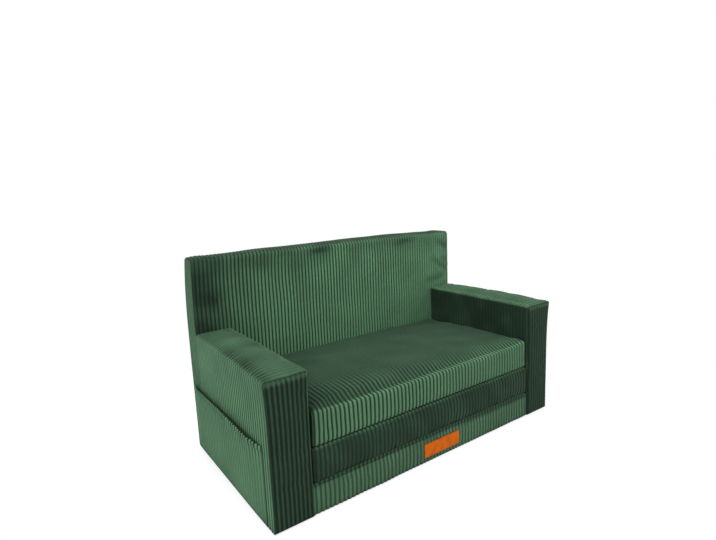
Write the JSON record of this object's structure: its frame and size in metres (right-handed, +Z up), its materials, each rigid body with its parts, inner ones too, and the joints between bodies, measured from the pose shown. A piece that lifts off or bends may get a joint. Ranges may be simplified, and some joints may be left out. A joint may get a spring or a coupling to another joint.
{
  "type": "children's sofa bed",
  "caption": "Child's ribbed-cloth foam sofa with side pockets; the upper seat blocks fold forward on fabric hinges to make a flat lounger.",
  "frame": {"origin": "on the floor, at the middle of the whole width and depth", "axes": "+Z up, front towards -Y, +X to the right as seen from the front"},
  "size_m": [0.9222, 0.464, 0.524],
  "materials": {
    "light_cord": "matte",
    "dark_cord": "matte",
    "foam": "matte",
    "label_leather": "satin",
    "label_thread": "matte",
    "non_slip": "matte",
    "zip_tape": "matte",
    "zip_slider": "satin"
  },
  "bodies": {
    "frame": {"base_foam": "foam", "base_cover": "light_cord", "back_foam": "foam", "back_cover": "light_cord", "left_arm_foam": "foam", "left_arm_cover": "light_cord", "right_arm_foam": "foam", "right_arm_cover": "light_cord", "left_pocket": "light_cord", "right_pocket": "light_cord", "label_patch": "label_leather", "label_stitching": "label_thread", "underside_sheet": "non_slip", "back_zip": "zip_tape"},
    "middle_block": {"middle_foam": "foam", "middle_cover": "dark_cord", "middle_zip": "zip_tape", "front_hinge_strip": "dark_cord"},
    "top_block": {"top_foam": "foam", "top_cover": "light_cord", "top_zip": "zip_tape", "rear_hinge_strip": "dark_cord"},
    "back_slider": {"back_zip_slider": "zip_slider"},
    "middle_slider": {"middle_zip_slider": "zip_slider"},
    "top_slider": {"top_zip_slider": "zip_slider"}
  },
  "joints": [
    {"name": "fold_out", "type": "hinge", "parent": "frame", "child": "middle_block", "pos_m": [0, -0.2312, 0.0755], "axis": [1, 0, 0], "range_deg": [0, 180], "deforming": ["front_hinge_strip"]},
    {"name": "top_unfold", "type": "hinge", "parent": "middle_block", "child": "top_block", "pos_m": [0, 0.1668, 0.151], "axis": [1, 0, 0], "range_deg": [-180, 0], "deforming": ["rear_hinge_strip"]},
    {"name": "back_zip_slide", "type": "slide", "parent": "frame", "child": "back_slider", "axis": [-1, 0, 0], "range_m": [0, 0.6215]},
    {"name": "middle_zip_slide", "type": "slide", "parent": "middle_block", "child": "middle_slider", "axis": [-1, 0, 0], "range_m": [0, 0.5242]},
    {"name": "top_zip_slide", "type": "slide", "parent": "top_block", "child": "top_slider", "axis": [-1, 0, 0], "range_m": [0, 0.5242]}
  ],
  "couplings": [
    {"joint": "top_unfold", "follows": "fold_out", "ratio": -1}
  ]
}
